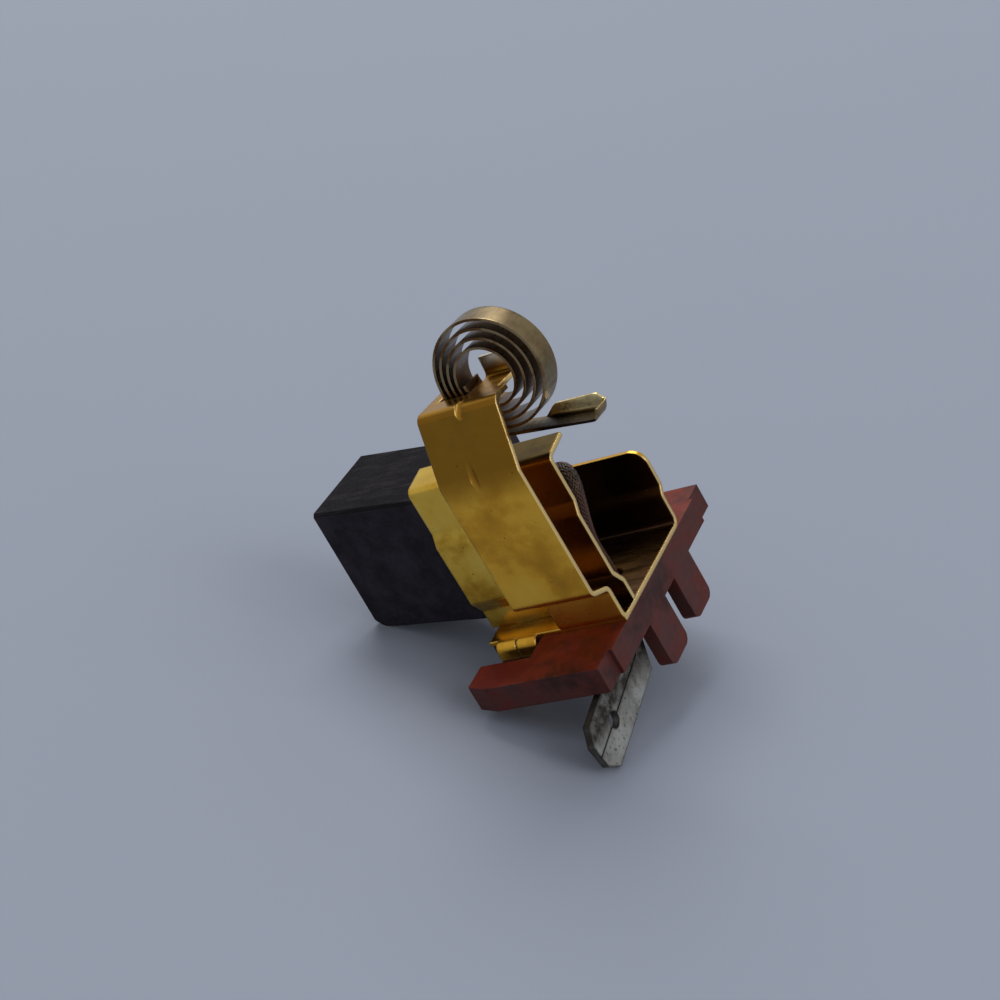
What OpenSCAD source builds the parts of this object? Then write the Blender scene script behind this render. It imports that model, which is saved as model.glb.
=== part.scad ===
// Carbon brush in its sheet-brass holder, on a moulded insulating base.
// +Z points up from the base plate and +X out of the holder's open rear end,
// so the block slides along X and meets its commutator on the -X side.
// The origin is the middle of the base plate's flat underside.

/* [Base plate] */
// Length of the base plate along the brush
base_len = 17; // [16:0.5:22]
// Width of the base plate over both ears
base_w = 31.6; // [29:0.2:40]
// Thickness of the base plate
base_t = 3; // [2.4:0.2:5]
// Depth of the narrower step behind the ears
rear_step = 0.5; // [0.2:0.1:2]
// Width of the base plate behind the ears
rear_w = 25.8; // [24:0.2:28]
// Length of the cuts on the front corners
front_cut_len = 2.5; // [0.5:0.1:4]
// Width of the cuts on the front corners
front_cut_w = 0.8; // [0.3:0.1:2]
// Width of each lug under the rear edge
lug_w = 4.8; // [3:0.2:6]
// Thickness of each lug
lug_t = 1.6; // [1.2:0.1:4]
// How far the lugs sit off the plate's middle line
lug_offset = 1.1; // [-2:0.1:2]
// How far the lugs reach below the base plate
lug_drop = 5.8; // [3:0.2:8]
// Distance between the middles of the two lugs
lug_pitch = 7.8; // [6.4:0.2:12]
// Width of the clinch notches in the front corners
notch_w = 3.4; // [2.6:0.1:4]
// Length of the clinch notches
notch_len = 6.4; // [5.6:0.2:9]

/* [Brush box] */
// Outside width of the brush box
box_w = 17; // [16.6:0.1:20]
// Length of the brush box
box_len = 18; // [15:0.5:20]
// How far the box's floor ends behind the front of the guide wall
floor_back = 0.8; // [0.2:0.1:1.5]
// Thickness of the brass sheet
sheet_t = 0.5; // [0.4:0.1:0.7]
// Height of the low wall beside the brush
low_wall_h = 9.5; // [7:0.5:14]
// Height at which the low wall flares out
flare_z = 3.8; // [2.5:0.1:5]
// How far the low wall flares out
flare_out = 0.7; // [0.3:0.1:1.5]
// Radius of the sheet's bends, at mid thickness
bend_r = 0.8; // [0.6:0.1:1.2]
// Length of each clinch tab
tab_len = 2.4; // [1.5:0.1:2.8]
// Depth of the clinch tabs in their notches
tab_drop = 1.4; // [0.8:0.1:2.2]

/* [Bracket] */
// Width of the upright bracket plate
bracket_w = 9.6; // [8:0.2:12]
// Height of the bracket's lower wall
joggle_z = 4.2; // [3.2:0.1:5]
// Rise of the step above the lower wall
joggle_rise = 1.3; // [1:0.1:2]
// How far the bracket steps out
joggle_out = 2.75; // [2:0.05:4]
// Height at which the bracket starts to lean in
lean_z = 20.8; // [20:0.2:24]
// Height of the bracket's top bend
top_z = 27.7; // [26:0.1:30]
// Lean of the bracket's upper part
lean_deg = 20; // [14:1:24]
// Radius of the lower corner of the upright plate
plate_corner_r = 1.7; // [0.5:0.1:3]
// Downward slope of the arm that holds the spring
arm_deg = 6; // [0:1:12]
// Length of the arm's wide part
arm_len = 2.6; // [2.2:0.1:4]
// Width of the arm's neck inside the coil
neck_w = 3.3; // [2:0.1:3.4]
// Height of the ear that ends the arm
ear_h = 2.4; // [1.5:0.1:3]
// Reach of the cheek on the arm's front side, beside the coil
cheek_len = 2.6; // [0.5:0.1:3]
// Reach of the pressed rib to each side of the top bend
top_rib = 1.3; // [1:0.1:2]
// Reach of the pressed rib above the start of the lean
lean_rib = 2.8; // [1.5:0.1:3.5]
// Reach of the pressed rib below the start of the lean
plate_rib = 1.3; // [1:0.1:3]
// Radius of the pressed ribs
rib_r = 0.45; // [0.3:0.05:0.6]

/* [Guide wall] */
// Distance from the box's side to the guide wall's foot
guide_in = 3.25; // [3:0.05:3.6]
// Depth of the channel that is pressed into the guide wall
guide_press = 1.05; // [0.4:0.05:1.4]
// Height at which the channel starts
channel_z = 2.9; // [2.5:0.1:4]
// Height of the channel between its slopes
channel_h = 10.4; // [8:0.2:10.6]
// Rise of the slope on each side of the channel
channel_rise = 1.7; // [1.2:0.1:2]
// Height of the guide wall at its lip
guide_h = 18.7; // [18:0.1:19.4]
// Reach of the lip over the brush
lip_w = 3.6; // [2:0.1:5]

/* [Carbon] */
// Side play of the block between the guide wall and the low wall
side_play = 1.4; // [1.2:0.1:3]
// Height of the carbon block
carbon_h = 16; // [10:0.5:16.5]
// Length of the carbon block
carbon_len = 22; // [18:0.5:30]
// Length of the block that is still in the box
carbon_in = 5.3; // [4:0.1:6]
// Angle at which the block lies askew in its box
carbon_yaw = 6; // [0:0.5:6]
// Angle at which the block's front end is raised off the box's floor
carbon_pitch = 2.5; // [0:0.5:3]
// Radius of the worn lower front corner
carbon_corner_r = 3; // [1:0.5:5]
// Slant of the contact face across the block
face_slant = 2.5; // [0:0.5:6]
// Chamfer on the block's long edges
carbon_edge = 0.35; // [0.1:0.05:0.8]
// Clearance between the block and the box's floor
slide_gap = 0.1; // [0.05:0.01:0.2]
// Clearance between the block's rear corner and the guide wall
side_gap = 0.1; // [0.05:0.01:0.2]

/* [Spring] */
// Width of the spring strip
spring_w = 2.8; // [2:0.1:3.4]
// Thickness of the spring strip
spring_t = 0.28; // [0.15:0.01:0.35]
// Outside diameter of the coil
coil_d = 13.2; // [12:0.1:14]
// Diameter of the space inside the coil
coil_bore = 5.1; // [5:0.1:6]
// Number of whole turns, before the last quarter
coil_turns = 4; // [3:1:5]
// Length of the pressure finger beyond the coil's middle
finger_len = 8.9; // [8:0.1:13]
// Downward slope of the finger
finger_deg = 5; // [0:1:8]
// Height of the finger's turned-up edge
finger_edge = 1.9; // [1:0.1:2.4]

/* [Terminal] */
// Width of the tab
blade_w = 6.3; // [4.8:0.1:8]
// Thickness of the tab, which is folded from two layers
blade_t = 0.8; // [0.6:0.1:1]
// Length of the tab beyond its neck
blade_len = 13.4; // [11:0.1:16]
// Diameter of the detent hole
blade_hole = 1.8; // [1.2:0.1:2.2]
// Distance from the tab's tip to its hole
blade_hole_in = 4.8; // [3:0.1:6]
// How far the tab's tip stands out from the box's side
blade_out = 11.6; // [9:0.1:14]
// How far the tab's tip lies below the base's top
blade_drop = 7.5; // [5:0.1:9]
// Distance from the rear face to the tab
blade_in = 2.3; // [2:0.1:4]
// Length of the plate under the base
plate_len = 5.6; // [4:0.1:8]
// Width of the plate under the base
plate_w = 10.8; // [8:0.1:14]
// Downward slope of the tab
blade_deg = 10; // [0:1:14]
// Corner cut on the tab's tip
blade_cut = 1.7; // [0.5:0.1:2]
// Width of the seam where the folded edges meet
blade_seam = 0.16; // [0.1:0.02:0.3]

/* [Pigtail] */
// Diameter of the braided lead
braid_d = 1.6; // [1:0.1:1.8]
// Diameter of the tamped plug that holds the lead in the block
plug_d = 3.4; // [2.6:0.1:4]
// Depth of the tamped plug
plug_depth = 5; // [3:0.5:7]
// Height of the plug's middle above the block's underside
plug_z = 9.6; // [5:0.1:11]
// Distance from the rear face to the holes that the lead passes through
braid_in = 5; // [4:0.1:6]
// Distance from the guide wall to those holes
braid_side = 5.15; // [4:0.05:7]
// Clearance around the lead in the holes it passes through
braid_gap = 0.5; // [0.3:0.1:0.8]

/* [Hidden] */
$fn = 48;
// Overlap of two shapes that are joined into one solid
join = 0.02;
// Half the sheet's thickness
half_t = sheet_t / 2;

// The base plate's rear face, its front face and its top
x_rear = base_len / 2;
x_front = -base_len / 2;
z_top = base_t;
// The box's side that carries the bracket, and its low side
y_side = -box_w / 2;
y_low = box_w / 2;
// Rear end of the brush box, flush with the base plate
box_x0 = x_rear - box_len;
// Top of the box's floor
z_floor = z_top + sheet_t;
// Slots under the guide wall's feet
foot_len = 3;
foot_drop = 1.5;
foot_in = [2.5, box_len - 6];
y_guide = y_side + guide_in;
// Width of the block, which fills the channel but for its side play
carbon_w = y_low - sheet_t - y_guide - half_t - side_play;
// Clinch tabs, from the front of their notches
tab_x = [0.9, 3.5];
// How far the clinch tabs' mid plane stands outside the box
tab_out = 0.5;
// How far the notches' middle lies outside the tabs
notch_out = 0.9;

// Unit vector
function unit(v) = v / norm(v);
// An angle brought to -180 to 180 degrees
function wrap(a) = a > 180 ? a - 360 : a < -180 ? a + 360 : a;
// Points of the round bend of radius r at corner q between p and s
function bend(p, q, s, r, n = 6) =
    let (u = unit(p - q), w = unit(s - q), half = acos(u * w) / 2,
         c = q + unit(u + w) * r / sin(half),
         a = q + u * r / tan(half) - c, b = q + w * r / tan(half) - c,
         a0 = atan2(a.y, a.x), turn = wrap(atan2(b.y, b.x) - a0))
    [for (i = [0 : n]) c + r * [cos(a0 + turn * i / n), sin(a0 + turn * i / n)]];
// A path with every inner corner rounded to radius r
function rounded(path, r) = [
    path[0],
    for (i = [1 : len(path) - 2]) each bend(path[i - 1], path[i], path[i + 1], r),
    path[len(path) - 1]
];
// One face of a strip: the path moved sideways by d, with mitred corners
function beside(path, d) = [
    for (i = [0 : len(path) - 1])
        let (a = unit(path[min(i + 1, len(path) - 1)] - path[min(i, len(path) - 2)]),
             b = unit(path[max(i, 1)] - path[max(i - 1, 0)]),
             m = unit(a + b), n = [-m.y, m.x])
        path[i] + n * d / (n * [-a.y, a.x])
];
// Outline of a strip of thickness t along a path
function strip(path, t) =
    let (left = beside(path, t / 2), right = beside(path, -t / 2))
    concat(left, [for (i = [len(right) - 1 : -1 : 0]) right[i]]);

// Extrudes a Y-Z outline along X, from x0 to x1
module along_x(x0, x1) {
    translate([x0, 0, 0])
        rotate([90, 0, 90])
            linear_extrude(x1 - x0)
                children();
}

// Extrudes an X-Z outline along Y, from y0 to y1
module along_y(y0, y1) {
    translate([0, y1, 0])
        rotate([90, 0, 0])
            linear_extrude(y1 - y0)
                children();
}

// A rectangle with all four corners rounded
module round_rect(size, r) {
    union() {
        translate([r, 0])
            square([size.x - 2 * r, size.y]);
        translate([0, r])
            square([size.x, size.y - 2 * r]);
        for (x = [r, size.x - r], y = [r, size.y - r])
            translate([x, y])
                circle(r);
    }
}

// ---- Base plate ----

// A lug under the rear edge, with round lower corners
module lug(y_mid) {
    r = lug_w * 0.22;
    along_x(x_rear - lug_t, x_rear)
        translate([y_mid - lug_w / 2, -lug_drop])
            union() {
                round_rect([lug_w, lug_drop], r);
                translate([0, lug_drop / 2])
                    square([lug_w, lug_drop / 2 + join]);
            }
}

module base_plate() {
    half_w = base_w / 2;
    step_x = x_rear - rear_step;
    outline = [
        [x_rear, -rear_w / 2], [x_rear, rear_w / 2],
        [step_x, rear_w / 2], [step_x, half_w],
        [x_front + front_cut_len, half_w], [x_front, half_w - front_cut_w],
        [x_front, -half_w + front_cut_w], [x_front + front_cut_len, -half_w],
        [step_x, -half_w], [step_x, -rear_w / 2]
    ];
    color("firebrick")
        difference() {
            union() {
                linear_extrude(base_t)
                    polygon(outline);
                for (side = [-1, 1])
                    lug(side * lug_pitch / 2 + lug_offset);
            }
            for (side = [-1, 1])
                translate([x_front - 1, side * (box_w / 2 + tab_out + notch_out) - notch_w / 2,
                           -1])
                    cube([notch_len + 1, notch_w, base_t + 2]);
            for (x = foot_in)
                translate([x_rear - x - foot_len, y_guide - half_t, z_top - foot_drop])
                    cube([foot_len, sheet_t, foot_drop + 1]);
            braid_hole(-1, base_t + 1);
        }
}

// ---- Brush box and its bracket ----

// Mid line of the box's floor and low wall
low_path = [
    [y_side + half_t, z_top + half_t],
    [y_low - half_t, z_top + half_t],
    [y_low - half_t, z_top + flare_z],
    [y_low - half_t + flare_out, z_top + flare_z + 1.5 * flare_out],
    [y_low - half_t + flare_out, z_top + low_wall_h]
];
// Mid line of the bracket's wall, its step and its leaning top
lean_run = (top_z - lean_z) * tan(lean_deg);
y_plate = y_side + half_t - joggle_out;
y_bend = y_plate + lean_run;
bracket_path = [
    [y_side + 2 * bend_r + half_t, z_top + half_t],
    [y_side + half_t, z_top + half_t],
    [y_side + half_t, z_top + joggle_z],
    [y_plate, z_top + joggle_z + joggle_rise],
    [y_plate, z_top + lean_z],
    [y_bend, z_top + top_z],
    [y_bend + arm_len * cos(arm_deg), z_top + top_z - arm_len * sin(arm_deg)]
];

// Moves its children to the arm's frame: +Y along the arm, +Z off its face
module on_arm() {
    translate([x_rear, y_bend, z_top + top_z])
        rotate([-arm_deg, 0, 0])
            children();
}

// Moves its children to the chord of a pressed rib: +Z from p to q, across X
module on_chord(p, q) {
    translate([0, p.x, p.y])
        rotate([-atan2((q - p).x, (q - p).y), 0, 0])
            children();
}

// Ends of the chord that a rib cuts off the sheet's outer face at bend i
function chord(i, before, after) =
    let (face = beside(bracket_path, half_t))
    [face[i] + before * unit(face[i - 1] - face[i]),
     face[i] + after * unit(face[i + 1] - face[i])];
top_rib_x = x_rear - bracket_w * 0.47;
lean_rib_x = x_rear - bracket_w * 0.55;
top_chord = chord(5, top_rib, top_rib);
lean_chord = chord(4, plate_rib, lean_rib);

// A bar whose underside touches the chord of a rib
module rib_bar(x, c, r) {
    translate([x, 0, 0])
        on_chord(c[0], c[1])
            translate([0, -rib_r, -rib_r])
                cylinder(h = norm(c[1] - c[0]) + 2 * rib_r, r = r);
}

// Metal of the pressed ribs, which stands in from the sheet's outer face
module rib_metal() {
    outer = beside(rounded(bracket_path, bend_r), half_t - join);
    inner = beside(bracket_path, -3 * sheet_t);
    intersection() {
        along_x(x_rear - bracket_w, x_rear)
            polygon(concat(outer, [for (i = [len(inner) - 1 : -1 : 0]) inner[i]]));
        union() {
            rib_bar(top_rib_x, top_chord, rib_r + sheet_t);
            rib_bar(lean_rib_x, lean_chord, rib_r + sheet_t);
        }
    }
}

// Clinch tab that turns down off the floor's edge into the base's notch
module clinch_tab(side, x) {
    path = [
        [side * (box_w / 2 - 2 * bend_r), z_top + half_t],
        [side * (box_w / 2 + tab_out), z_top + half_t],
        [side * (box_w / 2 + tab_out), z_top - tab_drop]
    ];
    along_x(x, x + tab_len)
        polygon(strip(rounded(path, bend_r), sheet_t));
}

module brush_box() {
    color("goldenrod")
        difference() {
            union() {
                // Floor and low wall, with the wall's rear corner rounded
                intersection() {
                    along_x(box_x0, x_rear)
                        polygon(strip(rounded(low_path, bend_r), sheet_t));
                    along_y(y_side - 5, y_low + 5)
                        translate([box_x0, z_top])
                            union() {
                                round_rect([box_len, low_wall_h], 1.8);
                                square([box_len, low_wall_h / 2]);
                            }
                }
                // Lower wall, step, upright plate and arm, cut to their outline
                intersection() {
                    along_x(x_rear - bracket_w, x_rear)
                        polygon(strip(rounded(bracket_path, bend_r), sheet_t));
                    along_y(y_side - 2 * joggle_out, y_low)
                        bracket_outline();
                }
                on_arm()
                    arm_neck();
                for (x = tab_x)
                    clinch_tab(-1, x_front + x);
                clinch_tab(1, x_front + tab_x[1]);
                rib_metal();
            }
            rib_bar(top_rib_x, top_chord, rib_r);
            rib_bar(lean_rib_x, lean_chord, rib_r);
            // The floor ends behind the guide wall's front edge
            translate([box_x0 - 1, y_side - 2, z_top - 1])
                cube([floor_back + 1, box_w + 4, sheet_t + 1 + join]);
            for (x = foot_in)
                translate([x_rear - x - foot_len, y_guide - half_t, z_top - 1])
                    cube([foot_len, sheet_t, sheet_t + 2]);
            braid_hole(z_top - 1, z_floor + 1);
        }
}

// Side view of the bracket: the plate's lower front corner is round
module bracket_outline() {
    low = z_top + joggle_z - 0.3;
    translate([x_rear - bracket_w, low])
        union() {
            round_rect([bracket_w, top_z + 2 - joggle_z], plate_corner_r);
            translate([plate_corner_r, 0])
                square([bracket_w - plate_corner_r, top_z - joggle_z]);
            translate([0, top_z - joggle_z - 4])
                square([bracket_w, 7]);
        }
    translate([x_rear - bracket_w + plate_corner_r, z_top - 1])
        square([bracket_w - plate_corner_r, joggle_z + 2]);
}

// The cheek beside the coil, the neck through it and the ear that keeps it on
module arm_neck() {
    translate([-bracket_w, arm_len - 0.5, -half_t])
        cube([bracket_w + coil_x - coil_d / 2 - coil_gap, cheek_len + 0.5, sheet_t]);
    path = [
        [arm_len - join, 0],
        [arm_len + spring_w + ear_gap, 0],
        [arm_len + spring_w + ear_gap, ear_h]
    ];
    translate([coil_x - neck_w / 2 + neck_shift, 0, 0])
        rotate([90, 0, 90])
            linear_extrude(neck_w)
                polygon(strip(rounded(path, bend_r), sheet_t));
}

// ---- Guide wall ----

guide_path = [
    [y_guide, z_floor],
    [y_guide, z_top + channel_z],
    [y_guide - guide_press, z_top + channel_z + channel_rise],
    [y_guide - guide_press, z_top + channel_z + channel_rise + channel_h - 3],
    [y_guide - 0.45, z_top + channel_z + channel_rise + channel_h - 1.6],
    [y_guide - 0.45, z_top + guide_h],
    [y_guide - 0.45 + lip_w, z_top + guide_h + 0.4]
];

module guide_wall() {
    color("gold")
        union() {
            along_x(box_x0, x_rear)
                polygon(strip(rounded(guide_path, 0.6), sheet_t));
            for (x = foot_in)
                translate([x_rear - x - foot_len, y_guide - half_t, z_top - foot_drop])
                    cube([foot_len, sheet_t, foot_drop + sheet_t + 1]);
        }
}

// ---- Carbon block ----

// The block's own frame: +X along it to its rear end, Z up from its underside
carbon_y = y_guide + half_t + side_gap + carbon_w / 2 * cos(carbon_yaw);
module in_block_frame() {
    translate([box_x0 + carbon_in, carbon_y, z_floor + slide_gap])
        rotate([0, carbon_pitch, -carbon_yaw])
            children();
}

module carbon_block() {
    half_w = carbon_w / 2;
    e = carbon_edge;
    section = [
        [-half_w + e, 0], [half_w - e, 0], [half_w, e], [half_w, carbon_h - e],
        [half_w - e, carbon_h], [-half_w + e, carbon_h], [-half_w, carbon_h - e],
        [-half_w, e]
    ];
    slant = half_w * tan(face_slant);
    r = carbon_corner_r;
    color([0.22, 0.2, 0.23])
        in_block_frame()
            difference() {
                intersection() {
                    along_x(-carbon_len, 0)
                        polygon(section);
                    // Slanted contact face, seen from above
                    translate([0, 0, -1])
                        linear_extrude(carbon_h + 2)
                            polygon([
                                [1, -half_w - 1], [1, half_w + 1],
                                [-carbon_len, half_w],
                                [-carbon_len + 2 * slant, -half_w]
                            ]);
                    // Worn lower front corner, seen from the side
                    along_y(-half_w - 1, half_w + 1)
                        union() {
                            translate([-carbon_len, r])
                                square([carbon_len + 1, carbon_h]);
                            translate([-carbon_len + r, 0])
                                square([carbon_len + 1 - r, r + 1]);
                            translate([-carbon_len + r, r])
                                circle(r);
                        }
                }
                plug_bore();
            }
}

// The round hole in the block's rear face for the lead
module plug_bore() {
    translate([-plug_depth, 0, plug_z])
        rotate([0, 90, 0])
            cylinder(h = plug_depth + 1, d = plug_d);
}

// ---- Spiral spring ----

// Middle of the coil in the arm's frame
coil_x = -1.4;
coil_z = 1.3;
neck_shift = -1.2;
// The inner turns are wound off centre, towards the neck's front side
coil_shift = [-0.8, -0.3];
// Room for the coil's strip between the arm and the ear, on each side
coil_gap = 0.35;
ear_gap = 2 * coil_gap + 0.4;
coil_steps = 32;
r_out = (coil_d - spring_t) / 2;
r_in = (coil_bore + spring_t) / 2;
coil_sweep = 360 * coil_turns + 90;
// Mid line of the strip: it winds out from the neck and leaves at the bottom
function coil_point(a) =
    let (r = r_in + (r_out - r_in) * a / coil_sweep)
    [coil_x, coil_z] + coil_shift * (1 - a / coil_sweep)
        + r * [cos(180 + a), sin(180 + a)];
coil_n = ceil(coil_steps * coil_sweep / 360);
coil_path = [for (i = [0 : coil_n]) coil_point(coil_sweep * i / coil_n)];

// Moves its children to the finger's frame: +X along it from the coil's bottom
module in_finger_frame() {
    translate([coil_x, 0, coil_z - r_out])
        rotate([0, finger_deg, 0])
            children();
}

module coil_spring() {
    y0 = arm_len + coil_gap;
    edge_x = 2.2;
    tip_r = 0.6;
    color("tan")
        on_arm()
            union() {
                along_y(y0, y0 + spring_w)
                    polygon(strip(coil_path, spring_t));
                in_finger_frame() {
                    // The strip runs on as a flat finger with a round tip
                    translate([0, y0, -spring_t / 2])
                        linear_extrude(spring_t)
                            union() {
                                square([finger_len - tip_r, spring_w]);
                                translate([finger_len - 2 * tip_r - 1, 0])
                                    round_rect([2 * tip_r + 1, spring_w], tip_r);
                            }
                    // Turned-up far edge and tip
                    along_y(y0 + spring_w - spring_t, y0 + spring_w)
                        translate([edge_x, -spring_t / 2])
                            round_rect([finger_len - edge_x, finger_edge], 0.7);
                    translate([finger_len - spring_t, y0 + tip_r, 0])
                        cube([spring_t, spring_w - tip_r, finger_edge * 0.6]);
                }
            }
}

// ---- Terminal ----

// Place of the tab's face and of the middle of its tip
blade_x = x_rear - blade_in;
blade_tip = [y_side - blade_out, z_top - blade_drop];
// Plate under the base, in front of the lugs and inside the box's side
plate_gap = 0.2;
plate_x = x_rear - lug_t - plate_gap - plate_len;
plate_y = y_side + 1.2;

module blade_frame() {
    translate([blade_x, blade_tip.x, blade_tip.y])
        rotate([blade_deg, 0, 0])
            children();
}

module terminal_tab() {
    w = blade_w / 2;
    c = blade_cut;
    color("lightgray")
        union() {
            // Plate under the base, from which the tab turns down
            difference() {
                translate([plate_x, plate_y, -blade_t])
                    cube([plate_len, plate_w, blade_t]);
                braid_hole(-blade_t - 1, 1);
            }
            difference() {
                union() {
                    blade_frame()
                        along_x(-blade_t, 0)
                            polygon([
                                [0, -w + c], [c * 0.8, -w], [blade_len, -w],
                                [blade_len, w], [c * 0.8, w], [0, w - c]
                            ]);
                    // Neck between the plate and the tab
                    along_x(blade_x - blade_t, blade_x)
                        polygon([
                            [plate_y, -blade_t / 2], [plate_y + 3.4, -blade_t / 2],
                            [plate_y + 1.6, -5.2], [plate_y - 3, -4.6],
                            [plate_y - 2, -2.4]
                        ]);
                }
                blade_frame()
                    translate([-blade_t - 1, blade_hole_in, 0])
                        rotate([0, 90, 0])
                            cylinder(h = blade_t + 2, d = blade_hole);
                // The tab's upper edge is cut where it passes under the base
                translate([blade_x - blade_t - 1, blade_tip.x - 1, 0])
                    cube([blade_t + 2, blade_len + 2, blade_w]);
                // Seam between the two folded edges
                blade_frame()
                    translate([-0.2, -1, -blade_seam / 2])
                        cube([1, blade_len + 1.2, blade_seam]);
            }
        }
}

// ---- Pigtail ----

// The hole through the box's floor, the base and the terminal's plate
braid_x = x_rear - braid_in;
braid_y = y_guide + braid_side;
module braid_hole(z0, z1) {
    translate([braid_x, braid_y, z0])
        cylinder(h = z1 - z0, d = braid_d + 2 * braid_gap);
}

// Middle of the plug's outer face, and the way the block's rear end points
block_out = [cos(carbon_pitch) * cos(carbon_yaw), -cos(carbon_pitch) * sin(carbon_yaw),
             -sin(carbon_pitch)];
block_up = [sin(carbon_pitch) * cos(carbon_yaw), -sin(carbon_pitch) * sin(carbon_yaw),
            cos(carbon_pitch)];
plug_face = [box_x0 + carbon_in, carbon_y, z_floor + slide_gap] + plug_z * block_up;

// Place of the solder on the front face of the terminal's neck
solder_r = 1.2;
solder_t = 0.6;
solder = [blade_x - blade_t, plate_y + 1, -2.7];

// Route of the lead between its straight ends: out of the block, in a loop behind
// the guide wall and down through the base to the solder on the terminal's neck
lead_route = [
    plug_face + block_out, plug_face + [3.4, -0.4, 0.6],
    [2.6, 0.2, 16], [5.2, -0.8, 17.9], [6.9, -1.9, 17.6], [7.1, -2.9, 15.6],
    [6.2, -3.2, 12.4], [5, -2.4, 8.8], [braid_x + 0.3, braid_y - 0.3, 6],
    [braid_x, braid_y, z_top], [braid_x, braid_y, 0],
    [braid_x + 0.1, braid_y - 1.2, -2.2], [solder.x - 2.4, solder.y + 1.4, solder.z],
    solder - [solder_t + 0.5, 0, 0]
];

// Rings between two points of the route
route_steps = 5;
// A smooth curve through the points of a route
function curve(p) = [
    for (i = [0 : len(p) - 2], k = [0 : route_steps - 1])
        let (t = k / route_steps, a = p[max(i - 1, 0)], b = p[i], c = p[i + 1],
             d = p[min(i + 2, len(p) - 1)])
        b + (c - a) * t / 2 + (2 * a - 5 * b + 4 * c - d) * t * t / 2
          + (3 * b - a - 3 * c + d) * t * t * t / 2,
    p[len(p) - 1]
];

module shunt_braid() {
    color("saddlebrown")
        tube(concat([plug_face], curve(lead_route), [solder - [solder_t, 0, 0]]),
             braid_d / 2, 8);
}

// Tangent of a route at point i
function heading(p, i) =
    unit(p[min(i + 1, len(p) - 1)] - p[max(i - 1, 0)]);
// A ring of n points square to the route at point i
function ring(p, i, r, n) =
    let (t = heading(p, i), u = unit(cross(t, [0, 1, 0])), v = cross(t, u))
    [for (k = [0 : n - 1]) p[i] + r * (u * cos(360 * k / n) + v * sin(360 * k / n))];

// A round tube swept along a route
module tube(p, r, n) {
    m = len(p);
    points = [for (i = [0 : m - 1]) each ring(p, i, r, n)];
    sides = [
        for (i = [0 : m - 2], k = [0 : n - 1])
            [i * n + k, i * n + (k + 1) % n, (i + 1) * n + (k + 1) % n, (i + 1) * n + k]
    ];
    ends = [
        [for (k = [n - 1 : -1 : 0]) k],
        [for (k = [0 : n - 1]) (m - 1) * n + k]
    ];
    polyhedron(points, concat(sides, ends), convexity = 6);
}

module shunt_plug() {
    color("peru")
        in_block_frame()
            translate([-plug_depth, 0, plug_z])
                rotate([0, 90, 0])
                    cylinder(h = plug_depth, d = plug_d);
}

module solder_joint() {
    color("gray")
        translate(solder)
            rotate([0, -90, 0])
                cylinder(h = solder_t, r1 = solder_r, r2 = braid_d / 2);
}

base_plate();
brush_box();
guide_wall();
carbon_block();
coil_spring();
terminal_tab();
shunt_braid();
shunt_plug();
solder_joint();
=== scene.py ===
import bpy
import math
from mathutils import Matrix, Vector


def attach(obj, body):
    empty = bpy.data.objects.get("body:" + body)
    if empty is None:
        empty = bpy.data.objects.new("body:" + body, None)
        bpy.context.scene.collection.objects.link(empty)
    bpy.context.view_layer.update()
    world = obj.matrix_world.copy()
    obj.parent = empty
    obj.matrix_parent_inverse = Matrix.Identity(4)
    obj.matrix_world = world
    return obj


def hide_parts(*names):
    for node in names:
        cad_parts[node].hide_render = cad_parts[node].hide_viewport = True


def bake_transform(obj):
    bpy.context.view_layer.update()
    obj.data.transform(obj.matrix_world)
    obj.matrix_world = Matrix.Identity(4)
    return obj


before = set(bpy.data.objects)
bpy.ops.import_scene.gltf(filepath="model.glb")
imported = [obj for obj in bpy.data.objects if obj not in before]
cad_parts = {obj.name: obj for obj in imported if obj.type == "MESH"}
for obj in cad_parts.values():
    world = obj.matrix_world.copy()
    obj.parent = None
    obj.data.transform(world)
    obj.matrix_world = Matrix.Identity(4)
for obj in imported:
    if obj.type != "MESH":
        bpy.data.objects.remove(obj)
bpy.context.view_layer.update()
MM = 0.001

# ---- Base plate ----
# The holder stands on a plate moulded from red phenolic. Its side faces are
# drawn a darker, greyer mauve than its red top: that is painted shade.


def new_finish(name):
    """A material with its tree and its shader."""
    material = bpy.data.materials.new(name)
    material.use_nodes = True
    tree = material.node_tree
    return material, tree, tree.nodes["Principled BSDF"]


def add(tree, kind, settings=None, **inputs):
    """Adds a node; an input is a value or another node's output."""
    made = tree.nodes.new(kind)
    for key, value in (settings or {}).items():
        setattr(made, key, value)
    for key, value in inputs.items():
        by_number = key[0] == "i" and key[1:].isdigit()
        socket = made.inputs[int(key[1:]) if by_number else key]
        if isinstance(value, bpy.types.NodeSocket):
            tree.links.new(value, socket)
        else:
            socket.default_value = value
    return made


def maths(tree, operation, a, b=0.0):
    return add(tree, "ShaderNodeMath", {"operation": operation}, i0=a, i1=b).outputs[0]


def spots(tree, scale, detail=4.0, stretch=(1.0, 1.0, 1.0), rough=0.6):
    """Noise over the piece, about 0 to 1, in patches of 1/scale metres."""
    where = add(tree, "ShaderNodeTexCoord").outputs["Object"]
    fit = add(tree, "ShaderNodeMapping", Vector=where, Scale=stretch)
    return add(tree, "ShaderNodeTexNoise", Vector=fit.outputs[0], Scale=scale,
               Detail=detail, Roughness=rough).outputs["Fac"]


def ramp(tree, value, low, high, to_low=0.0, to_high=1.0):
    """Maps low..high to to_low..to_high, held at both ends."""
    return add(tree, "ShaderNodeMapRange", Value=value, i1=low, i2=high, i3=to_low,
               i4=to_high).outputs[0]


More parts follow.
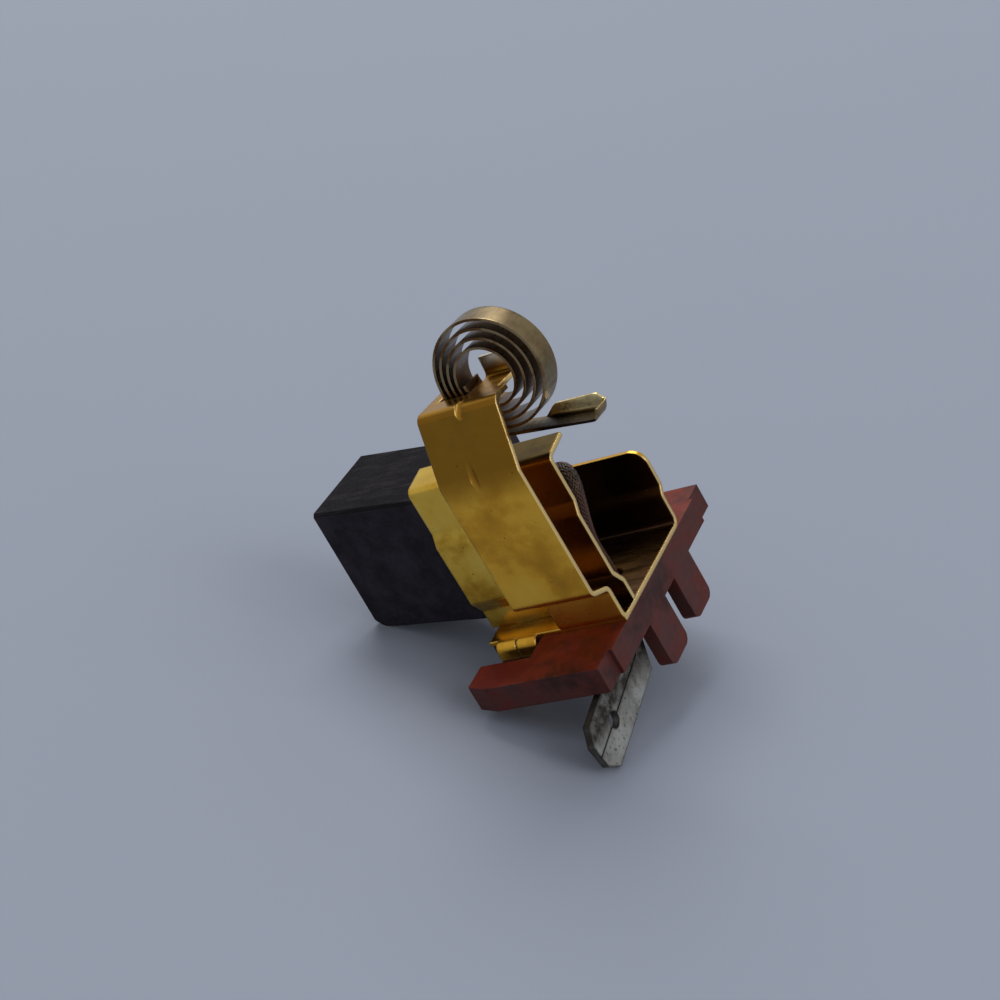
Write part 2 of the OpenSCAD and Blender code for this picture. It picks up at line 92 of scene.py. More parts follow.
def blend_colours(tree, share, a, b):
    mix = tree.nodes.new("ShaderNodeMix")
    mix.data_type = "RGBA"
    for index, value in ((0, share), (6, a), (7, b)):
        if isinstance(value, bpy.types.NodeSocket):
            tree.links.new(value, mix.inputs[index])
        else:
            mix.inputs[index].default_value = value if index == 0 else (*value, 1.0)
    return mix.outputs[2]


def facing(tree, axis):
    """How squarely a face looks along an axis of the piece, either way."""
    normal = add(tree, "ShaderNodeTexCoord").outputs["Normal"]
    part = add(tree, "ShaderNodeSeparateXYZ", Vector=normal).outputs["XYZ".index(axis)]
    return maths(tree, "ABSOLUTE", part)


def worn_edges(tree, radius, low=0.02, high=0.25):
    """1 along sharp edges, 0 on open faces."""
    soft = add(tree, "ShaderNodeBevel", {"samples": 6}, Radius=radius).outputs[0]
    hard = add(tree, "ShaderNodeNewGeometry").outputs["Normal"]
    same = add(tree, "ShaderNodeVectorMath", {"operation": "DOT_PRODUCT"}, i0=soft, i1=hard)
    return ramp(tree, maths(tree, "SUBTRACT", 1.0, same.outputs["Value"]), low, high)


def relief(tree, height, depth, radius=None):
    """Bump of a height in metres, over edges that are rounded by a radius."""
    bump = add(tree, "ShaderNodeBump", Height=height, Distance=depth)
    if radius:
        soft = add(tree, "ShaderNodeBevel", {"samples": 6}, Radius=radius)
        tree.links.new(soft.outputs[0], bump.inputs["Normal"])
    return bump.outputs[0]


def dress(node, material):
    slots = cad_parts[node].data.materials
    slots.clear()
    slots.append(material)


MOULD_RED = (0.125, 0.0115, 0.0038)
MOULD_LIGHT = (0.19, 0.022, 0.009)
SIDE_SHADE_MAUVE = (0.064, 0.024, 0.022)
MOULD_GRIME = (0.014, 0.007, 0.006)
CHIP = (0.13, 0.05, 0.04)

moulded, tree, shader = new_finish("moulded_red")
# Painted shade: faces that don't look up get the darker mauve side colour
side_faces = ramp(tree, facing(tree, "Z"), 0.4, 0.7, 1.0, 0.0)
cloud = spots(tree, 260.0, 6.0)
red = blend_colours(tree, ramp(tree, cloud, 0.42, 0.66), MOULD_RED, MOULD_LIGHT)
grain = spots(tree, 1500.0, 3.0, (0.25, 0.25, 1.0))
side_shade_share = ramp(tree, cloud, 0.35, 0.6, 0.45, 0.95)
side = blend_colours(tree, side_shade_share, MOULD_RED, SIDE_SHADE_MAUVE)
face = blend_colours(tree, side_faces, red, side)
face = blend_colours(tree, ramp(tree, grain, 0.62, 0.8, 0.0, 0.45), face, CHIP)
edge = maths(tree, "MULTIPLY", worn_edges(tree, 0.25 * MM), ramp(tree, cloud, 0.4, 0.6))
face = blend_colours(tree, maths(tree, "MULTIPLY", edge, 0.6), face, CHIP)
smudge = ramp(tree, spots(tree, 180.0, 8.0, rough=0.7), 0.5, 0.66, 0.0, 0.7)
face = blend_colours(tree, smudge, face, MOULD_GRIME)
tree.links.new(face, shader.inputs["Base Color"])
tree.links.new(ramp(tree, grain, 0.3, 0.7, 0.42, 0.62), shader.inputs["Roughness"])
shader.inputs["Specular IOR Level"].default_value = 0.18
tree.links.new(relief(tree, grain, 0.05 * MM, 0.15 * MM), shader.inputs["Normal"])
dress("base_plate", moulded)

# ---- Terminal tab and its solder ----
# The tab is folded from two layers of tinned brass. The tin is stained, with dark
# specks and dark edges; its neck is darkened by flux stains and painted shade.

TIN = (0.23, 0.225, 0.205)
TIN_BRIGHT = (0.38, 0.38, 0.36)
TIN_DARK = (0.035, 0.028, 0.02)
TIN_BROWN = (0.12, 0.085, 0.045)



def place(tree, axis, low, high):
    """0 to 1 between two places, in millimetres, along an axis of the holder."""
    where = add(tree, "ShaderNodeTexCoord").outputs["Object"]
    part = add(tree, "ShaderNodeSeparateXYZ", Vector=where).outputs["XYZ".index(axis)]
    return ramp(tree, part, low * MM, high * MM)


def both(tree, *masks):
    """1 only where every mask is 1."""
    share = masks[0]
    for mask in masks[1:]:
        share = maths(tree, "MULTIPLY", share, mask)
    return share


tinned, tree, shader = new_finish("tinned_tab")
cloud = spots(tree, 420.0, 5.0)
specks = spots(tree, 2600.0, 3.0)
stain = spots(tree, 700.0, 8.0, rough=0.75)
tin = blend_colours(tree, ramp(tree, cloud, 0.4, 0.62), TIN, TIN_BRIGHT)
tin = blend_colours(tree, ramp(tree, stain, 0.56, 0.68, 0.0, 0.6), tin, TIN_BROWN)
tin = blend_colours(tree, ramp(tree, specks, 0.61, 0.67, 0.0, 0.9), tin, TIN_DARK)
rim = both(tree, worn_edges(tree, 0.45 * MM, 0.02, 0.12), ramp(tree, cloud, 0.4, 0.5, 0.5, 1.0))
tin = blend_colours(tree, maths(tree, "MULTIPLY", rim, 0.85), tin, TIN_DARK)
# Painted shade with flux stains: the neck under the soldered lead is drawn dark
neck_shade_and_stain = both(tree, place(tree, "Z", -4.2, -2.6), ramp(tree, stain, 0.4, 0.55, 0.55, 1.0))
tin = blend_colours(tree, neck_shade_and_stain, tin, TIN_DARK)
tin = blend_colours(tree, ramp(tree, facing(tree, "X"), 0.5, 0.8, 0.75, 0.0), tin, TIN_DARK)
tree.links.new(tin, shader.inputs["Base Color"])
shader.inputs["Metallic"].default_value = 0.75
tree.links.new(ramp(tree, stain, 0.35, 0.65, 0.38, 0.7), shader.inputs["Roughness"])
tree.links.new(relief(tree, stain, 0.06 * MM, 0.1 * MM), shader.inputs["Normal"])
dress("terminal_tab", tinned)

soldered, tree, shader = new_finish("solder")
cloud = spots(tree, 1200.0, 4.0)
solder_face = blend_colours(tree, ramp(tree, cloud, 0.4, 0.6), TIN, TIN_DARK)
tree.links.new(solder_face, shader.inputs["Base Color"])
shader.inputs["Metallic"].default_value = 0.8
tree.links.new(ramp(tree, cloud, 0.3, 0.7, 0.3, 0.55), shader.inputs["Roughness"])
tree.links.new(relief(tree, cloud, 0.05 * MM, 0.2 * MM), shader.inputs["Normal"])
dress("solder_joint", soldered)

# ---- Brush box and bracket ----
# Bent from one piece of half-millimetre brass sheet. The rolled face is satin with
# faint rolling lines, tarnished in clouds, and its cut edges are bright.

BRASS = (0.80, 0.405, 0.032)
BRASS_PALE = (0.92, 0.545, 0.070)
BRASS_BROWN = (0.30, 0.135, 0.022)
BRASS_EDGE = (0.88, 0.68, 0.32)
BRASS_SPECK = (0.045, 0.028, 0.015)


def looks(tree, axis, sign):
    """1 where a face looks along an axis, one way only."""
    normal = add(tree, "ShaderNodeTexCoord").outputs["Normal"]
    part = add(tree, "ShaderNodeSeparateXYZ", Vector=normal).outputs["XYZ".index(axis)]
    return ramp(tree, maths(tree, "MULTIPLY", part, sign), 0.35, 0.6)


def brass_sheet(name, base, pale, brown, heat, light_marks=()):
    """Rolled sheet: satin, clouded, with small dark specks and bright cut edges.

    A light mark is a function that gives its mask, its colour and its greatest share: painted
    shade or a painted highlight."""
    material, tree, shader = new_finish(name)
    cloud = spots(tree, 150.0, 5.0)
    lines = spots(tree, 900.0, 3.0, (0.12, 1.0, 0.12))
    specks = spots(tree, 1500.0, 2.0)
    face = blend_colours(tree, ramp(tree, cloud, 0.4, 0.65), base, pale)
    face = blend_colours(tree, ramp(tree, cloud, 0.5, 0.28, 0.0, heat), face, brown)
    face = blend_colours(tree, ramp(tree, lines, 0.45, 0.75, 0.0, 0.25), face, brown)
    face = blend_colours(tree, ramp(tree, specks, 0.72, 0.77, 0.0, 0.85), face, BRASS_SPECK)
    # Each mark is painted shade or a painted highlight, laid on with ragged edges
    for mask, colour, most in light_marks:
        ragged = ramp(tree, cloud, 0.35, 0.6, 0.8, 1.0)
        face = blend_colours(tree, both(tree, mask(tree), ragged, most), face, colour)
    end_grain = ramp(tree, facing(tree, "X"), 0.8, 0.95, 0.0, 0.75)
    face = blend_colours(tree, end_grain, face, BRASS_EDGE)
    face = blend_colours(tree, ramp(tree, worn_edges(tree, 0.12 * MM), 0.2, 1.0, 0.0, 0.6),
                         face, BRASS_EDGE)
    tree.links.new(face, shader.inputs["Base Color"])
    shader.inputs["Metallic"].default_value = 1.0
    tree.links.new(ramp(tree, lines, 0.3, 0.7, 0.2, 0.36), shader.inputs["Roughness"])
    height = maths(tree, "ADD", maths(tree, "MULTIPLY", lines, 0.5), cloud)
    tree.links.new(relief(tree, height, 0.02 * MM, 0.3 * MM), shader.inputs["Normal"])
    return material


# Painted shade: the inside of the channel, the lean's face and the arm's top are drawn dark, and a
# painted highlight makes the ear pale
SHADE_BROWN = (0.085, 0.040, 0.028)
BRASS_SHADE = (0.24, 0.108, 0.012)
BRASS_HIGHLIGHT = (0.95, 0.90, 0.70)


# Painted shade: the inner face of the channel's wall is drawn near black
def wall_shade(tree):
    return both(tree, looks(tree, "Y", -1.0), place(tree, "Y", 4.0, 5.0))


# Painted shade: the channel's floor is drawn near black, low down
def floor_shade(tree):
    return both(tree, looks(tree, "Z", 1.0), place(tree, "Y", -7.6, -6.5),
                place(tree, "Z", 6.0, 5.0))


# Painted shade: the lean's face is drawn a darker brown, for the darker reflection it shows
def lean_shade(tree):
    return both(tree, place(tree, "Z", 21.0, 24.5), looks(tree, "Y", -1.0))


# Painted shade: the arm's top is drawn darker, where the coil shades it
def arm_shade(tree):
    return both(tree, place(tree, "Z", 28.0, 30.0), looks(tree, "Z", 1.0))


# Painted highlight: the arm's turned-up end is drawn pale, where the light catches it
def ear_highlight(tree):
    return place(tree, "Z", 31.0, 31.8)


dress("brush_box", brass_sheet("brass_sheet", BRASS, BRASS_PALE, BRASS_BROWN, 0.6, (
    (wall_shade, SHADE_BROWN, 0.97), (floor_shade, SHADE_BROWN, 0.95),
    (lean_shade, BRASS_SHADE, 0.9), (arm_shade, BRASS_SHADE, 0.6),
    (ear_highlight, BRASS_HIGHLIGHT, 0.9))))

# ---- Guide wall ----
# A second strip of brass stands in slots in the base and guides the block's side.
# It carries painted shade: brown behind the bracket, dark towards its foot and inside, and near
# black along its lip.

GUIDE_BRASS = (0.74, 0.43, 0.040)
GUIDE_PALE = (0.84, 0.57, 0.10)
GUIDE_BROWN = (0.28, 0.10, 0.015)
GUIDE_SHADE = (0.26, 0.105, 0.012)
GUIDE_LIP_SHADE = (0.008, 0.004, 0.001)


# Painted shade: the near face is drawn brown where it stands behind the bracket
def rear_shade(tree):
    return both(tree, place(tree, "X", -2.5, 1.0), looks(tree, "Y", -1.0))


# Painted shade: the near face is drawn darker towards its foot
def foot_shade(tree):
    return both(tree, place(tree, "X", -1.0, 2.0), place(tree, "Z", 20.0, 11.0),
                looks(tree, "Y", -1.0))


# Painted shade: the inner face is drawn near black
def inside_shade(tree):
    return looks(tree, "Y", 1.0)


# Painted shade: the lip's top is drawn near black
def lip_shade(tree):
    return both(tree, place(tree, "Z", 20.2, 21.0), place(tree, "X", -5.0, -1.0),
                looks(tree, "Z", 1.0))


dress("guide_wall", brass_sheet("brass_guide", GUIDE_BRASS, GUIDE_PALE, GUIDE_BROWN, 0.9, (
    (rear_shade, GUIDE_SHADE, 0.95), (foot_shade, SHADE_BROWN, 0.85),
    (inside_shade, SHADE_BROWN, 0.95), (lip_shade, GUIDE_LIP_SHADE, 0.9))))

# ---- Carbon block ----
# Pressed and baked electrographite, sawn to size. It is near black with a violet
# cast, with a fine open grain. Its edges are rubbed grey; its top carries darker streaks as
# painted shade.

CARBON = (0.0155, 0.0133, 0.0175)
CARBON_LIGHT = (0.034, 0.0295, 0.037)
CARBON_TOP_SHADE = (0.0035, 0.0030, 0.0040)
CARBON_EDGE = (0.060, 0.048, 0.036)

carbon, tree, shader = new_finish("carbon")
cloud = spots(tree, 260.0, 7.0, rough=0.7)
grain = spots(tree, 3200.0, 4.0)
body = blend_colours(tree, ramp(tree, cloud, 0.4, 0.66), CARBON, CARBON_LIGHT)
body = blend_colours(tree, ramp(tree, grain, 0.56, 0.74, 0.0, 0.6), body, CARBON_LIGHT)
rim = maths(tree, "MULTIPLY", worn_edges(tree, 0.3 * MM), ramp(tree, cloud, 0.35, 0.6, 0.35, 1.0))
body = blend_colours(tree, rim, body, CARBON_EDGE)
streaks = spots(tree, 1400.0, 5.0, (0.15, 1.0, 1.0))
# Painted shade: darker streaks on the upward faces only
painted_shade = both(tree, looks(tree, "Z", 1.0), ramp(tree, streaks, 0.68, 0.5))
body = blend_colours(tree, maths(tree, "MULTIPLY", painted_shade, 0.75), body, CARBON_TOP_SHADE)
tree.links.new(body, shader.inputs["Base Color"])
tree.links.new(ramp(tree, grain, 0.3, 0.7, 0.6, 0.85), shader.inputs["Roughness"])
shader.inputs["Specular IOR Level"].default_value = 0.06
pits = maths(tree, "ADD", grain, maths(tree, "MULTIPLY", cloud, 0.8))
tree.links.new(relief(tree, pits, 0.06 * MM, 0.2 * MM), shader.inputs["Normal"])
dress("carbon_block", carbon)

# ---- Spiral spring ----
# One strip of spring metal, wound on the arm's neck and run out as a finger whose
# far edge is turned up. Heat left brown and violet tints between the turns. The
# outer face is a pale grey gold; the finger's trough is painted black as shade, and a painted
# highlight runs along its bend.

# Sizes in millimetres. The arm's frame: its place in the holder and its droop
X_REAR, ARM_Y, ARM_Z, ARM_DEG = 8.5, -8.489, 30.7, 6.0
# The coil: its middle in the arm's frame, its turns, radii and the inner turns' shift
COIL_X, COIL_Z, TURNS = -1.4, 1.3, 4.25
R_IN, R_OUT, SHIFT = 2.69, 6.46, (-0.8, -0.3)
# The strip: its width, thickness and near edge
STRIP_W, STRIP_T, STRIP_Y = 2.8, 0.28, 2.95
# The finger: its length and droop, its turned-up edge and its round tip
FINGER, FINGER_DEG, EDGE_X, EDGE_H, TIP_R = 8.76, 5.0, 1.4, 1.72, 0.6
EDGE_RUN, EDGE_BEND, TIP_FALL = 2.2, 0.5, 0.7
# The tip's last rows, as distance along the finger and lift
TIP_CURL = [(8.50, 0.015), (8.60, 0.07), (8.67, 0.17), (8.71, 0.31), (8.735, 0.52), (8.755, 0.9)]
STEPS_A_TURN, FINGER_STEPS, ACROSS = 72, 40, 16


def smooth_step(value):
    value = max(0.0, min(1.0, value))
    return value * value * (3.0 - 2.0 * value)


def strip_section(along):
    """Points across the strip, as (y, height), at a distance along the finger."""
    curl = smooth_step((along - EDGE_X) / EDGE_RUN)
    left = FINGER - along
    inset = TIP_R - math.sqrt(max(0.0, TIP_R ** 2 - (TIP_R - left) ** 2)) if left < TIP_R else 0.0
    grown = EDGE_H * (0.78 + 0.22 * smooth_step((along - EDGE_X) / (FINGER - EDGE_X)))
    top = grown * curl * (1.0 - 0.35 * smooth_step(1.0 - left / TIP_FALL))
    bend, points = EDGE_BEND * curl, []
    flat = STRIP_W - bend - STRIP_T / 2 * curl
    for i in range(ACROSS + 1):
        u = i / ACROSS
        if u <= 0.5:
            points.append((inset + (flat - inset) * u * 2.0, 0.0))
        elif curl == 0.0:
            points.append((flat, 0.0))
        elif u <= 0.75:
            turn = (u - 0.5) * 4.0 * math.pi / 2.0
            points.append((flat + bend * math.sin(turn), bend * (1.0 - math.cos(turn))))
        else:
            rise = max(top - bend, 0.02)
            points.append((flat + bend, bend + rise * (u - 0.75) * 4.0))
    return points


def coil_rows():
    """Rows of points with their marks: 0 to 1 on the spiral, 1 to 2 on the finger."""
    rows, marks = [], []
    count = int(STEPS_A_TURN * TURNS)
    for i in range(count + 1):
        angle = math.radians(180.0 + 360.0 * TURNS * i / count)
        r = R_IN + (R_OUT - R_IN) * i / count
        x = COIL_X + r * math.cos(angle) + SHIFT[0] * (1.0 - i / count)
        z = COIL_Z + r * math.sin(angle) + SHIFT[1] * (1.0 - i / count)
        rows.append([(x, STRIP_Y + STRIP_W * j / ACROSS, z) for j in range(ACROSS + 1)])
        marks.append(i / count)
    slope = math.radians(FINGER_DEG)
    flat_end = TIP_CURL[0][0] - 0.1
    path = [(flat_end * i / FINGER_STEPS, 0.0) for i in range(1, FINGER_STEPS + 1)] + TIP_CURL
    for along, lift in path:
        row = []
        section = strip_section(along)
        top = max(section[-1][1], lift + 0.05)
        for j, (y, h) in enumerate(section):
            h = lift + h * (1.0 - lift / top)
            flat_y = STRIP_W * j / ACROSS
            share = smooth_step(along / EDGE_X)
            y = flat_y + (y - flat_y) * share
            x = COIL_X + along * math.cos(slope) + h * math.sin(slope)
            z = COIL_Z - R_OUT - along * math.sin(slope) + h * math.cos(slope)
            row.append((x, STRIP_Y + y, z))
        rows.append(row)
        marks.append(1.0 + along / FINGER)
    return rows, marks


def lofted(name, rows, marks):
    """A smooth mesh through rows of points in millimetres, with the marks as its UV map."""
    points = [tuple(v * MM for v in point) for row in rows for point in row]
    width = len(rows[0])
    faces = [(i * width + j, (i + 1) * width + j, (i + 1) * width + j + 1, i * width + j + 1)
             for i in range(len(rows) - 1) for j in range(width - 1)]
    mesh = bpy.data.meshes.new(name)
    mesh.from_pydata(points, [], faces)
    mesh.polygons.foreach_set("use_smooth", [True] * len(faces))
    lay = mesh.uv_layers.new(name="strip").data
    for loop in mesh.loops:
        row, column = divmod(loop.vertex_index, width)
        lay[loop.index].uv = (marks[row], column / (width - 1))
    piece = bpy.data.objects.new(name, mesh)
    bpy.context.scene.collection.objects.link(piece)
    return piece


spring = lofted("spiral_spring", *coil_rows())
on_arm = (Matrix.Translation((X_REAR * MM, ARM_Y * MM, ARM_Z * MM))
          @ Matrix.Rotation(math.radians(-ARM_DEG), 4, "X"))
spring.data.transform(on_arm)
wall = spring.modifiers.new("strip", "SOLIDIFY")
wall.thickness = STRIP_T * MM
wall.offset = 0.0
wall.use_even_offset = True
rim = spring.modifiers.new("rolled_edge", "BEVEL")
rim.width = 0.05 * MM
rim.segments = 2
rim.limit_method = "ANGLE"

SPRING_PALE = (0.27, 0.205, 0.10)
SPRING_DARK = (0.13, 0.088, 0.042)
SPRING_BROWN = (0.13, 0.062, 0.022)
SPRING_VIOLET = (0.10, 0.062, 0.055)
SPRING_TROUGH_SHADE = (0.014, 0.007, 0.004)
SPRING_HIGHLIGHT = (0.90, 0.74, 0.36)
SPRING_EDGE = (0.30, 0.215, 0.11)

strip, tree, shader = new_finish("spring_strip")
cloud = spots(tree, 300.0, 4.0)
lines = spots(tree, 2200.0, 3.0, (1.0, 0.1, 1.0))
edge_on = ramp(tree, facing(tree, "Y"), 0.6, 0.9)
tint = blend_colours(tree, ramp(tree, cloud, 0.42, 0.58), SPRING_BROWN, SPRING_VIOLET)
face = blend_colours(tree, ramp(tree, cloud, 0.35, 0.6), SPRING_DARK, SPRING_PALE)
face = blend_colours(tree, ramp(tree, lines, 0.5, 0.75, 0.0, 0.5), face, tint)
on_strip = add(tree, "ShaderNodeUVMap", {"uv_map": "strip"}).outputs[0]
lay = add(tree, "ShaderNodeSeparateXYZ", Vector=on_strip)
along, across = lay.outputs["X"], lay.outputs["Y"]
inner = ramp(tree, along, 0.72, 0.80, 1.0, 0.0)
face = blend_colours(tree, maths(tree, "MULTIPLY", inner, 0.7), face, tint)
edge_tint = blend_colours(tree, ramp(tree, cloud, 0.42, 0.55), SPRING_BROWN, SPRING_EDGE)
on_coil = ramp(tree, along, 1.05, 1.0)
edges = both(tree, edge_on, on_coil, ramp(tree, across, 0.0, 1.0, 0.9, 0.8))
face = blend_colours(tree, edges, face, edge_tint)
# Painted highlight: a bright band along the bend of the finger's turned-up edge
bend_highlight = both(tree, ramp(tree, along, 1.2, 1.35), ramp(tree, across, 0.66, 0.78),
              ramp(tree, cloud, 0.4, 0.5, 0.5, 1.0))
face = blend_colours(tree, bend_highlight, face, SPRING_HIGHLIGHT)
# Painted shade: the trough inside the finger's bend is drawn near black
trough_shade = both(tree, ramp(tree, along, 1.1, 1.3), ramp(tree, along, 1.985, 1.97),
              ramp(tree, across, 0.70, 0.55), ramp(tree, cloud, 0.35, 0.5, 0.88, 0.97))
face = blend_colours(tree, trough_shade, face, SPRING_TROUGH_SHADE)
tree.links.new(face, shader.inputs["Base Color"])
shader.inputs["Metallic"].default_value = 1.0
tree.links.new(ramp(tree, lines, 0.3, 0.7, 0.22, 0.42), shader.inputs["Roughness"])
tree.links.new(relief(tree, lines, 0.015 * MM), shader.inputs["Normal"])
spring.data.materials.append(strip)
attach(spring, "holder")
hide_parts("coil_spring")

# ---- Pigtail and its plug ----
# A lead of fine copper wire, braided from two sets of strands that wind opposite
# ways. It is tamped into the block with copper powder, loops up behind the guide
# wall and goes down through the base to the solder on the tab's neck.

LEAD_ROUTE = [
    (-3.78, 0.82, 13.19), (-2.79, 0.72, 13.15), (-0.38, 0.42, 13.79), (2.6, 0.2, 16.0),
    (5.2, -0.8, 17.9), (6.9, -1.9, 17.6), (7.1, -2.9, 15.6), (6.2, -3.2, 12.4),
    (5.0, -2.4, 8.8), (3.8, -0.4, 6.0), (3.5, -0.1, 3.0), (3.5, -0.1, 0.0),
    (3.6, -1.3, -2.2), (3.0, -4.9, -2.7), (4.3, -6.3, -2.7), (4.8, -6.3, -2.7),
]
# Radius that the wires lie on, a wire's radius, wires in a set and their turns
LEAD_R, WIRE_R, STRANDS, LAY = 0.66, 0.13, 14, 5.5
RINGS, SIDES = 240, 6

route = bpy.data.curves.new("lead_route", "CURVE")
route.dimensions = "3D"
spline = route.splines.new("NURBS")
spline.points.add(len(LEAD_ROUTE) - 1)
for point, knot in zip(spline.points, LEAD_ROUTE):
    point.co = (*[v * MM for v in knot], 1.0)
spline.order_u = 4
spline.use_endpoint_u = True
spline.resolution_u = 12
lead_curve = bpy.data.objects.new("lead_curve", route)
bpy.context.scene.collection.objects.link(lead_curve)

copper, tree, shader = new_finish("copper_braid")
cloud = spots(tree, 900.0, 4.0)
COPPER = (0.10, 0.06, 0.035)
COPPER_DARK = (0.022, 0.014, 0.010)
COPPER_GREY = (0.075, 0.066, 0.060)
wire = blend_colours(tree, ramp(tree, cloud, 0.4, 0.6), COPPER_DARK, COPPER)
greyed = ramp(tree, spots(tree, 3000.0, 2.0), 0.5, 0.7, 0.0, 0.7)
wire = blend_colours(tree, greyed, wire, COPPER_GREY)
# Painted shade: the lead is drawn dark low down, inside the box
painted_shade = place(tree, "Z", 16.6, 14.5)
wire = blend_colours(tree, maths(tree, "MULTIPLY", painted_shade, 0.9), wire, SHADE_BROWN)
tree.links.new(wire, shader.inputs["Base Color"])
shader.inputs["Metallic"].default_value = 0.6
tree.links.new(ramp(tree, cloud, 0.3, 0.7, 0.35, 0.6), shader.inputs["Roughness"])

braid = bpy.data.node_groups.new("braid_strands", "GeometryNodeTree")
braid.interface.new_socket("Geometry", in_out="INPUT", socket_type="NodeSocketGeometry")
sizes = {}
for label, kind, value in (("Lead radius", "NodeSocketFloat", LEAD_R * MM),
                           ("Wire radius", "NodeSocketFloat", WIRE_R * MM),
                           ("Strands", "NodeSocketInt", STRANDS),
                           ("Turns", "NodeSocketFloat", LAY),
                           ("Hand", "NodeSocketFloat", 1.0)):
    socket = braid.interface.new_socket(label, in_out="INPUT", socket_type=kind)
    socket.default_value = value
    sizes[label] = socket.identifier
braid.interface.new_socket("Geometry", in_out="OUTPUT", socket_type="NodeSocketGeometry")
given = braid.nodes.new("NodeGroupInput").outputs
taken = braid.nodes.new("NodeGroupOutput").inputs
sampled = add(braid, "GeometryNodeResampleCurve", Curve=given["Geometry"])
sampled.inputs["Count"].default_value = RINGS
copies = add(braid, "GeometryNodeDuplicateElements", {"domain": "SPLINE"},
             Geometry=sampled.outputs[0], Amount=given["Strands"])
share = maths(braid, "DIVIDE", copies.outputs["Duplicate Index"], given["Strands"])
along = add(braid, "GeometryNodeSplineParameter").outputs["Factor"]
wound = maths(braid, "MULTIPLY", maths(braid, "MULTIPLY", along, given["Turns"]), given["Hand"])
angle = maths(braid, "MULTIPLY", maths(braid, "ADD", share, wound), 2.0 * math.pi)
normal = braid.nodes.new("GeometryNodeInputNormal").outputs[0]
tangent = braid.nodes.new("GeometryNodeInputTangent").outputs[0]
across = add(braid, "ShaderNodeVectorMath", {"operation": "CROSS_PRODUCT"}, i0=tangent, i1=normal)
weave = maths(braid, "MULTIPLY", maths(braid, "MULTIPLY", angle, given["Strands"]), 0.5)
lift = maths(braid, "MULTIPLY", maths(braid, "SINE", weave), given["Hand"])
radius = maths(braid, "ADD", given["Lead radius"],
               maths(braid, "MULTIPLY", lift, maths(braid, "MULTIPLY", given["Wire radius"], 0.3)))
one = add(braid, "ShaderNodeVectorMath", {"operation": "SCALE"}, i0=normal)
sideways = maths(braid, "MULTIPLY", maths(braid, "COSINE", angle), radius)
braid.links.new(sideways, one.inputs["Scale"])
two = add(braid, "ShaderNodeVectorMath", {"operation": "SCALE"}, i0=across.outputs[0])
upwards = maths(braid, "MULTIPLY", maths(braid, "SINE", angle), radius)
braid.links.new(upwards, two.inputs["Scale"])
moved = add(braid, "ShaderNodeVectorMath", {"operation": "ADD"}, i0=one.outputs[0],
            i1=two.outputs[0])
placed = add(braid, "GeometryNodeSetPosition", Geometry=copies.outputs[0], Offset=moved.outputs[0])
ring = add(braid, "GeometryNodeCurvePrimitiveCircle", Radius=given["Wire radius"])
ring.inputs["Resolution"].default_value = SIDES
tubes = braid.nodes.new("GeometryNodeCurveToMesh")
braid.links.new(placed.outputs[0], tubes.inputs["Curve"])
braid.links.new(ring.outputs[0], tubes.inputs["Profile Curve"])
tubes.inputs["Fill Caps"].default_value = True
real = add(braid, "GeometryNodeRealizeInstances", Geometry=tubes.outputs[0])
finished = add(braid, "GeometryNodeSetMaterial", Geometry=real.outputs[0], Material=copper)
braid.links.new(finished.outputs[0], taken["Geometry"])


def strands(name, hand):
    """One set of the braid's strands, as a plain mesh."""
    carrier = lead_curve.copy()
    bpy.context.scene.collection.objects.link(carrier)
    modifier = carrier.modifiers.new("strands", "NODES")
    modifier.node_group = braid
    modifier[sizes["Hand"]] = hand
    shape = carrier.evaluated_get(bpy.context.evaluated_depsgraph_get())
    mesh = bpy.data.meshes.new_from_object(shape)
    bpy.data.objects.remove(carrier)
    mesh.polygons.foreach_set("use_smooth", [True] * len(mesh.polygons))
    piece = bpy.data.objects.new(name, mesh)
    bpy.context.scene.collection.objects.link(piece)
    return piece


for name, hand in (("lead_strands_right", 1.0), ("lead_strands_left", -1.0)):
    piece = strands(name, hand)
    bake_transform(piece)
    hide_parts("shunt_braid")
bpy.data.objects.remove(lead_curve)

tamped, tree, shader = new_finish("copper_plug")
cloud = spots(tree, 2400.0, 5.0)
powder = blend_colours(tree, ramp(tree, cloud, 0.4, 0.6), COPPER_DARK, COPPER)
tree.links.new(powder, shader.inputs["Base Color"])
shader.inputs["Metallic"].default_value = 0.6
shader.inputs["Roughness"].default_value = 0.65
tree.links.new(relief(tree, cloud, 0.08 * MM), shader.inputs["Normal"])
dress("shunt_plug", tamped)

# ---- Floor, light and camera ----
# The part lies on its block and its tab on a plain table, under soft light from a
# window above and behind it.

FLOOR_TILT = math.radians(27.8)
FLOOR_DROP = -7.3 * MM
CAMERA_RIGHT = Vector((0.79528, 0.37813, -0.47386))
CAMERA_UP = Vector((0.19685, 0.57822, 0.79178))
CAMERA_BACK = Vector((0.57339, -0.72297, 0.38542))
CAMERA_PLACE = Vector((0.115908, -0.151339, 0.096048))
table_up = (math.cos(FLOOR_TILT) * CAMERA_UP + math.sin(FLOOR_TILT) * CAMERA_BACK).normalized()
table_near = table_up.cross(CAMERA_RIGHT).normalized() * -1.0
TABLE_SIZE = 3.0

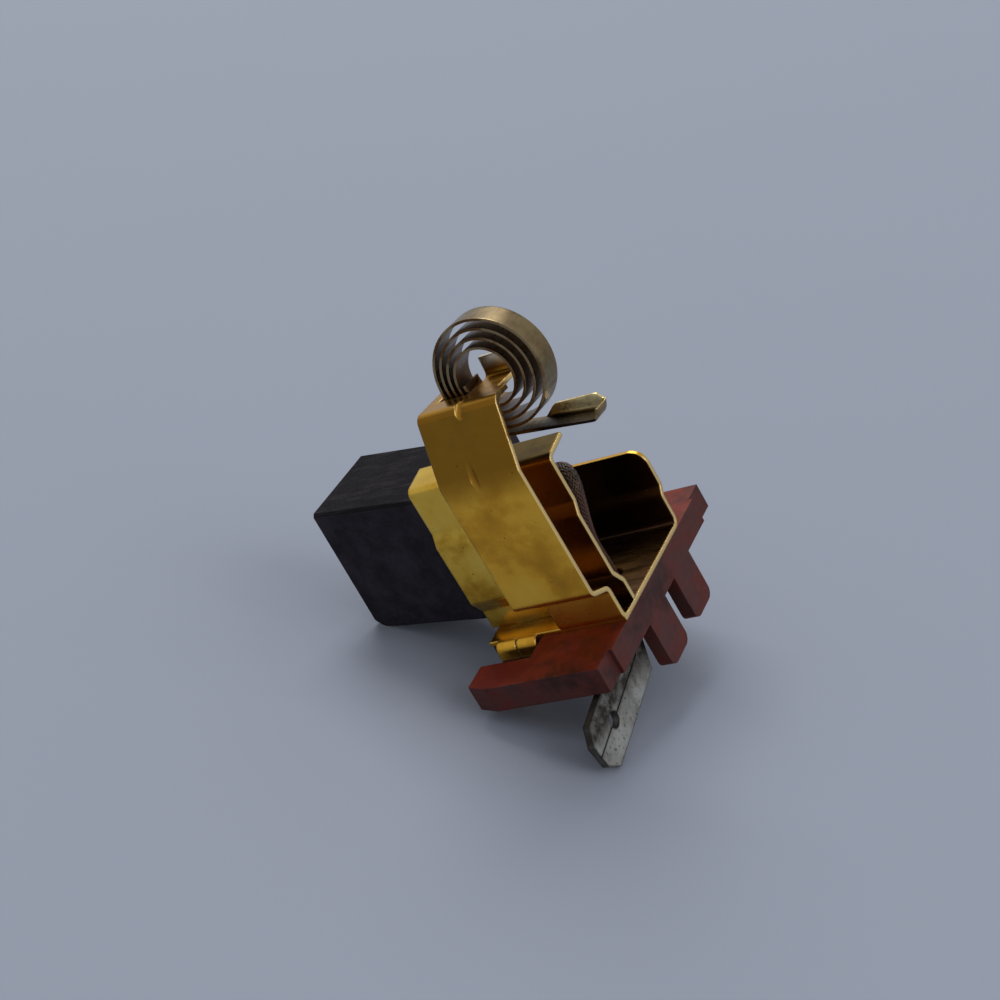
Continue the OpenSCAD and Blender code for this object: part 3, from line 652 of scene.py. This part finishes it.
turned = Matrix((CAMERA_RIGHT, table_up.cross(CAMERA_RIGHT), table_up)).transposed().to_4x4()
mesh = bpy.data.meshes.new("table")
half = TABLE_SIZE / 2
mesh.from_pydata([(-half, -half, 0), (half, -half, 0), (half, half, 0), (-half, half, 0)], [],
                 [(0, 1, 2, 3)])
mesh.transform(Matrix.Translation(table_up * FLOOR_DROP) @ turned)
table = bpy.data.objects.new("table", mesh)
bpy.context.scene.collection.objects.link(table)
paper, tree, shader = new_finish("pale_table")
PAPER = (0.283, 0.313, 0.385)
PAPER_SHADE = (0.276, 0.306, 0.376)
cloud = spots(tree, 12.0, 3.0)
tree.links.new(blend_colours(tree, cloud, PAPER_SHADE, PAPER), shader.inputs["Base Color"])
shader.inputs["Roughness"].default_value = 0.8
shader.inputs["Specular IOR Level"].default_value = 0.2
mesh.materials.append(paper)

MIDDLE = Vector((-0.004, 0.0, 0.012))


def window(name, right, up, near, size, power, colour):
    """A square lamp that looks at the part, placed along the table's directions."""
    lamp = bpy.data.lights.new(name, "AREA")
    lamp.shape = "SQUARE"
    lamp.size = size
    lamp.energy = power
    lamp.color = colour
    holder = bpy.data.objects.new(name, lamp)
    holder.location = MIDDLE + CAMERA_RIGHT * right + table_up * up + table_near * near
    holder.rotation_euler = (holder.location - MIDDLE).to_track_quat("Z", "Y").to_euler()
    bpy.context.scene.collection.objects.link(holder)


window("window", -0.45, 1.65, -1.35, 1.3, 27.0, (1.0, 0.99, 0.97))
window("room", 1.5, 1.35, 1.05, 1.5, 15.0, (0.97, 0.98, 1.0))

world = bpy.data.worlds.new("room_light")
bpy.context.scene.world = world
world.use_nodes = True
sky = world.node_tree.nodes["Background"]
sky.inputs["Color"].default_value = (0.97, 0.98, 1.0, 1.0)
sky.inputs["Strength"].default_value = 0.50

lens = bpy.data.cameras.new("camera")
lens.lens = 72.0
lens.sensor_width = 36.0
lens.clip_start = 0.005
camera = bpy.data.objects.new("camera", lens)
looks = Matrix((CAMERA_RIGHT, CAMERA_UP, CAMERA_BACK)).transposed().to_4x4()
camera.matrix_world = Matrix.Translation(CAMERA_PLACE) @ looks
bpy.context.scene.collection.objects.link(camera)
bpy.context.scene.camera = camera
bpy.context.scene.view_settings.view_transform = "Standard"
